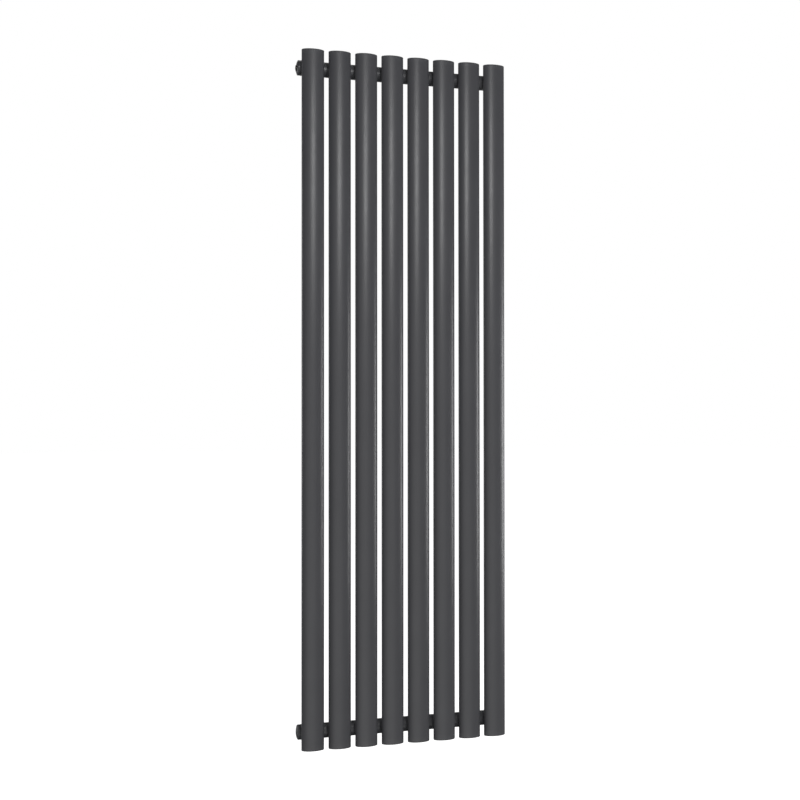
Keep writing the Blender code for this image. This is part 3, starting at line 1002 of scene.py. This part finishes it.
cut(key, rod(dimple_floor, (key_end + CUT_OVERRUN, 0, 0), DIMPLE_RADIUS, SMALL_SIDES))
cut(screw, key, "UNION")
clean_up(screw)
screw.data.transform(vent_place)
fit(screw, nickel, "nickel_plate", "vent_screw", "vent_screw")


# ---- Hanging pins ----------------------------------------------------------------------
# Four round steel pins are welded on the backs of the headers. The radiator hangs on them
# in the wall sleeves.

PIN_CHAMFER = 0.0005
# The pin's foot stands this deep in the header's wall.
PIN_FOOT = 0.0014

pin_low, pin_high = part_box("top_right_pin")
pin_radius = (pin_high.x - pin_low.x) / 2
fixing_x = (pin_high.x + pin_low.x) / 2
fixings = {
    f"{level}_{side}": Matrix.Translation((sign * fixing_x, 0, z))
    for level, z in levels.items()
    for side, sign in (("left", -1), ("right", 1))
}
quarter_back = Matrix.Rotation(-math.pi / 2, 4, "Z")
header_back = header_y + header_radius
pin = turn_on_lathe(
    "pin",
    [
        (-pin_high.y, pin_radius - PIN_CHAMFER),
        (-pin_high.y + PIN_CHAMFER, pin_radius),
        (-header_back + PIN_FOOT, pin_radius),
    ],
    sides=64,
)
clean_up(pin)
for corner, place in fixings.items():
    piece = copy_piece(pin, f"{corner}_hanging_pin", place @ quarter_back)
    fit(piece, powder_coat, "powder_coat", "radiator", f"{corner}_pin")
bpy.data.objects.remove(pin)


# ---- Wall sleeves ----------------------------------------------------------------------
# Each sleeve is a turned steel cup with a flange, held on the wall by one screw through
# its floor. A grub screw from below locks the pin in it.

SLEEVE_WALL = 0.0018
SLEEVE_FLOOR = 0.004
SLEEVE_GAP = 0.0003
SLEEVE_EDGE = 0.0004
FLANGE_THICKNESS = 0.003
WALL_SCREW_RADIUS = 0.0026
GRUB_FROM_MOUTH = 0.006
GRUB_RADIUS = 0.002
GRUB_SIDES = 32

sleeve_low, sleeve_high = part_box("top_right_wall_sleeve")
flange_radius = (sleeve_high.x - sleeve_low.x) / 2
sleeve_length = sleeve_high.y - sleeve_low.y
sleeve_bore = pin_radius + SLEEVE_GAP
sleeve_radius = sleeve_bore + SLEEVE_WALL

sleeve = turn_on_lathe(
    "sleeve",
    [
        (0, WALL_SCREW_RADIUS),
        (0, flange_radius),
        (FLANGE_THICKNESS, flange_radius),
        (FLANGE_THICKNESS, sleeve_radius),
        (sleeve_length, sleeve_radius),
        (sleeve_length, sleeve_bore),
        (SLEEVE_FLOOR, sleeve_bore),
        (SLEEVE_FLOOR, WALL_SCREW_RADIUS),
    ],
    closed=True,
)
ease_edges(sleeve, SLEEVE_EDGE, steps=3)
grub_along = sleeve_length - GRUB_FROM_MOUTH
cut(sleeve, rod((grub_along, 0, 0), (grub_along, 0, -flange_radius), GRUB_RADIUS, GRUB_SIDES))
clean_up(sleeve)
for corner, place in fixings.items():
    piece = copy_piece(sleeve, f"{corner}_sleeve_cup", place @ quarter_back)
    fit(piece, powder_coat, "powder_coat", "radiator", f"{corner}_wall_sleeve")
bpy.data.objects.remove(sleeve)


# ---- Grub screws -----------------------------------------------------------------------
# A short zinc-plated screw with a hexagon socket sits in each sleeve, against the pin.

GRUB_LENGTH = 0.004
GRUB_GAP = 0.0003
GRUB_POINT = 0.0005
GRUB_TOP_CHAMFER = 0.0002
GRUB_SOCKET_RADIUS = 0.0011
GRUB_SOCKET_DEPTH = 0.0015

zinc = finish(
    "zinc_plated_steel",
    colour=(0.53, 0.545, 0.565),
    roughness=0.36,
    metallic=1.0,
    skin={"Patch tint": 0.1, "Roughness spread": 0.08, "Peel scale": 1600.0, "Speck scale": 5000.0},
    wear={"amount": 0.6, "colour": (0.40, 0.39, 0.38), "roughness": 0.1},
    dust=0.03,
    bump=0.00001,
)
grub_start = pin_radius + GRUB_GAP
shank_radius = GRUB_RADIUS - GRUB_GAP
grub_end = grub_start + GRUB_LENGTH
grub = turn_on_lathe(
    "grub",
    [
        (grub_start, shank_radius - GRUB_POINT),
        (grub_start + GRUB_POINT, shank_radius),
        (grub_end - GRUB_TOP_CHAMFER, shank_radius),
        (grub_end, shank_radius - GRUB_TOP_CHAMFER),
    ],
    sides=GRUB_SIDES,
)
socket_floor = (grub_end - GRUB_SOCKET_DEPTH, 0, 0)
cut(grub, rod(socket_floor, (grub_end + CUT_OVERRUN, 0, 0), GRUB_SOCKET_RADIUS, sides=6))
clean_up(grub)
point_down = Matrix.Translation((0, -grub_along, 0)) @ Matrix.Rotation(math.pi / 2, 4, "Y")
for corner, place in fixings.items():
    piece = copy_piece(grub, f"{corner}_lock_screw", place @ point_down)
    fit(piece, zinc, "zinc_steel", "radiator", f"{corner}_grub_screw")
bpy.data.objects.remove(grub)


# ---- Weld beads ------------------------------------------------------------------------
# Rippled beads join the headers to the tubes, the sockets to the headers and the pins to
# the headers. They are laid by torch and sprayed with the rest.

RIPPLE_EVERY = 3
BEAD_SIDES = 10
SEAM_SINK = 0.0004
COLLAR_BEAD_RADIUS = 0.0094
PIN_BEAD_GAP = 0.0003


def weld_bead(name, major, minor, ripples, ripple_height):
    """A ring of weld about the X axis, its crests raised on every third section."""
    bpy.ops.object.select_all(action="DESELECT")
    sections = ripples * RIPPLE_EVERY
    bpy.ops.mesh.primitive_torus_add(
        major_segments=sections,
        minor_segments=BEAD_SIDES,
        major_radius=major,
        minor_radius=minor,
        rotation=(0, math.pi / 2, 0),
    )
    piece = bpy.context.object
    piece.name = piece.data.name = name
    set_in_place()
    begin_edit(piece)
    step = 2 * math.pi / sections
    pick(lambda v: round(math.atan2(v.co.z, v.co.y) / step) % RIPPLE_EVERY == 0, "VERT")
    bpy.ops.transform.shrink_fatten(value=ripple_height)
    end_edit()
    return piece


seam = weld_bead("seam", header_radius - SEAM_SINK, minor=0.0009, ripples=48, ripple_height=0.0001)
clean_up(seam)
for end, place in ends.items():
    along = Matrix.Translation((-SOCKET_LENGTH, 0, 0))
    piece = copy_piece(seam, f"{end}_socket_weld", place @ along)
    fit(piece, powder_coat, "powder_coat", "radiator")
bpy.data.objects.remove(seam)

collar_bead = weld_bead(
    "collar_bead", COLLAR_BEAD_RADIUS, minor=0.0016, ripples=26, ripple_height=0.00014
)
clean_up(collar_bead)
between = (tube_high.y + header_y - header_radius) / 2
for level, z in levels.items():
    for number, x in enumerate(tube_places, start=1):
        place = Matrix.Translation((x, between, z)) @ quarter_back
        piece = copy_piece(collar_bead, f"{level}_tube_weld_{number}", place)
        fit(piece, powder_coat, "powder_coat", "radiator")
bpy.data.objects.remove(collar_bead)

pin_bead = weld_bead(
    "pin_bead", pin_radius + PIN_BEAD_GAP, minor=0.0012, ripples=20, ripple_height=0.0001
)
clean_up(pin_bead)
for corner, place in fixings.items():
    back = Matrix.Translation((0, header_back - PIN_BEAD_GAP, 0))
    piece = copy_piece(pin_bead, f"{corner}_pin_weld", place @ back @ quarter_back)
    fit(piece, powder_coat, "powder_coat", "radiator")
bpy.data.objects.remove(pin_bead)
